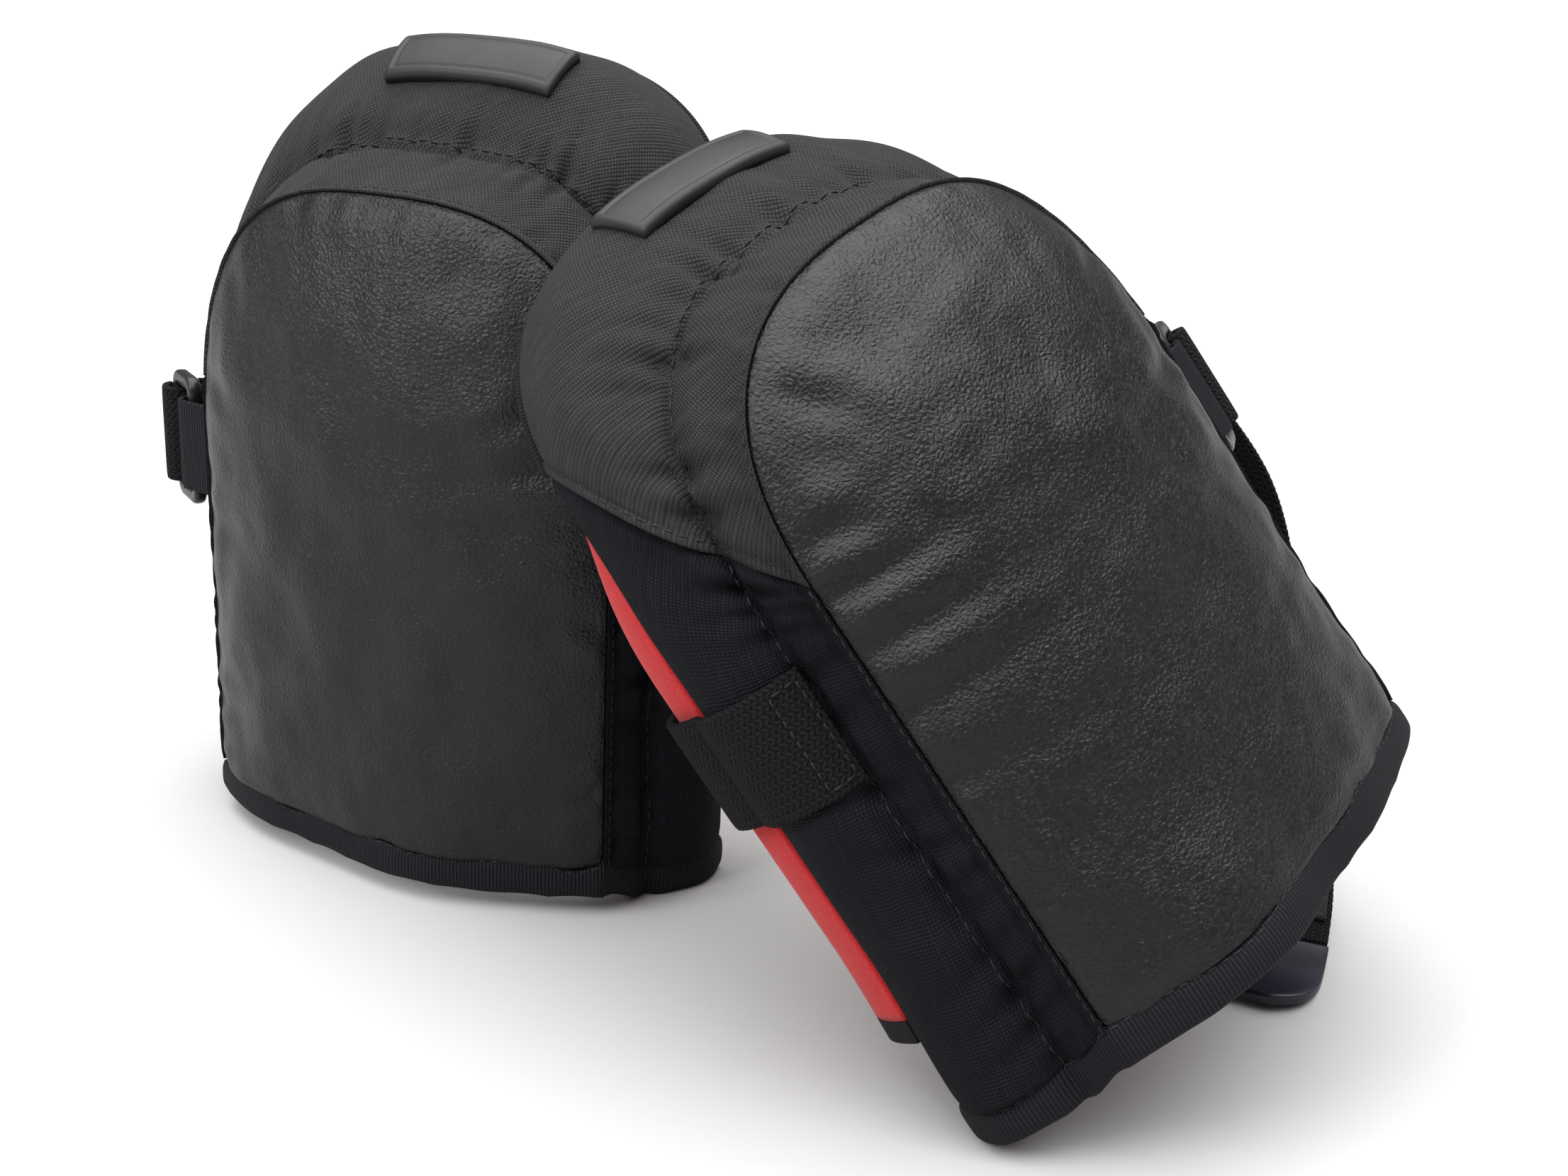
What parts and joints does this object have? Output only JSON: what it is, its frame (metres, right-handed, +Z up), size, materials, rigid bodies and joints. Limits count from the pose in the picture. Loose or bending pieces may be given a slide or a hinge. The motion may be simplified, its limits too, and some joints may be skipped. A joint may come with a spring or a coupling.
{
  "type": "pair of knee pads",
  "caption": "Soft knee pads with a grained face panel, woven cup, red padded lining and an elastic strap through a plastic ring; the left stands and the right leans on it.",
  "frame": {"origin": "middle of the pair's box, on the ground", "axes": "+Z up; +X along the pair from the left, standing pad to the right, leaning pad; the left pad faces -Y"},
  "size_m": [0.3806, 0.206, 0.2332],
  "materials": {
    "grained_pvc": "grained PVC coated fabric, satin sheen",
    "woven_cover": "coarse woven polyester, matt",
    "binding_tape": "ribbed grosgrain tape, matt",
    "foam": "closed-cell foam, matt",
    "red_lining": "brushed pile, matt",
    "badge_rubber": "moulded rubber, satin",
    "elastic_webbing": "chunky knitted elastic, matt",
    "hook_and_loop": "hook and loop pile",
    "ring_plastic": "moulded plastic, satin",
    "tail_moulding": "smooth coated tape end, satin"
  },
  "bodies": {
    "left_pad": {"left_face_panel": "grained_pvc", "left_crown_cover": "woven_cover", "left_side_cover_strap": "woven_cover", "left_side_cover_ring": "woven_cover", "left_crown_piping": "binding_tape", "left_bottom_binding": "binding_tape", "left_hem_facing": "woven_cover", "left_face_foam": "foam", "left_rim_foam": "foam", "left_lining": "red_lining", "left_lining_tape": "binding_tape", "left_badge": "badge_rubber", "left_strap_end": "elastic_webbing", "left_strap_run": "elastic_webbing", "left_loop_patch": "hook_and_loop", "left_ring_tab": "elastic_webbing"},
    "left_ring_body": {"left_ring": "ring_plastic", "left_strap_fold": "elastic_webbing"},
    "left_tail_body": {"left_strap_tail": "elastic_webbing", "left_tail_end": "tail_moulding", "left_hook_patch": "hook_and_loop"},
    "right_pad": {"right_face_panel": "grained_pvc", "right_crown_cover": "woven_cover", "right_side_cover_strap": "woven_cover", "right_side_cover_ring": "woven_cover", "right_crown_piping": "binding_tape", "right_bottom_binding": "binding_tape", "right_hem_facing": "woven_cover", "right_face_foam": "foam", "right_rim_foam": "foam", "right_lining": "red_lining", "right_lining_tape": "binding_tape", "right_badge": "badge_rubber", "right_strap_end": "elastic_webbing", "right_strap_run": "elastic_webbing", "right_loop_patch": "hook_and_loop", "right_ring_tab": "elastic_webbing"},
    "right_ring_body": {"right_ring": "ring_plastic", "right_strap_fold": "elastic_webbing"},
    "right_tail_body": {"right_strap_tail": "elastic_webbing", "right_tail_end": "tail_moulding", "right_hook_patch": "hook_and_loop"}
  },
  "joints": [
    {"name": "pair_separation", "type": "slide", "parent": "left_pad", "child": "right_pad", "axis": [1, 0, 0], "range_m": [0, 0.25]},
    {"name": "left_ring_swivel", "type": "hinge", "parent": "left_pad", "child": "left_ring_body", "pos_m": [-0.17198, -0.01423, 0.108], "axis": [0, 0, 1], "range_deg": [0, 45], "deforming": ["left_strap_run", "left_loop_patch"]},
    {"name": "left_tail_peel", "type": "hinge", "parent": "left_ring_body", "child": "left_tail_body", "pos_m": [-0.18851, -0.00389, 0.108], "axis": [0, 0, 1], "range_deg": [0, 95]},
    {"name": "right_ring_swivel", "type": "hinge", "parent": "right_pad", "child": "right_ring_body", "pos_m": [0.11469, 0.0579, 0.15245], "axis": [0.5999, 0.1144, -0.7918], "range_deg": [-5, 45], "deforming": ["right_strap_run", "right_loop_patch"]},
    {"name": "right_tail_swing", "type": "hinge", "parent": "right_ring_body", "child": "right_tail_body", "pos_m": [0.11091, 0.07703, 0.15235], "axis": [0.5999, 0.1144, -0.7918], "range_deg": [-8, 60]}
  ]
}
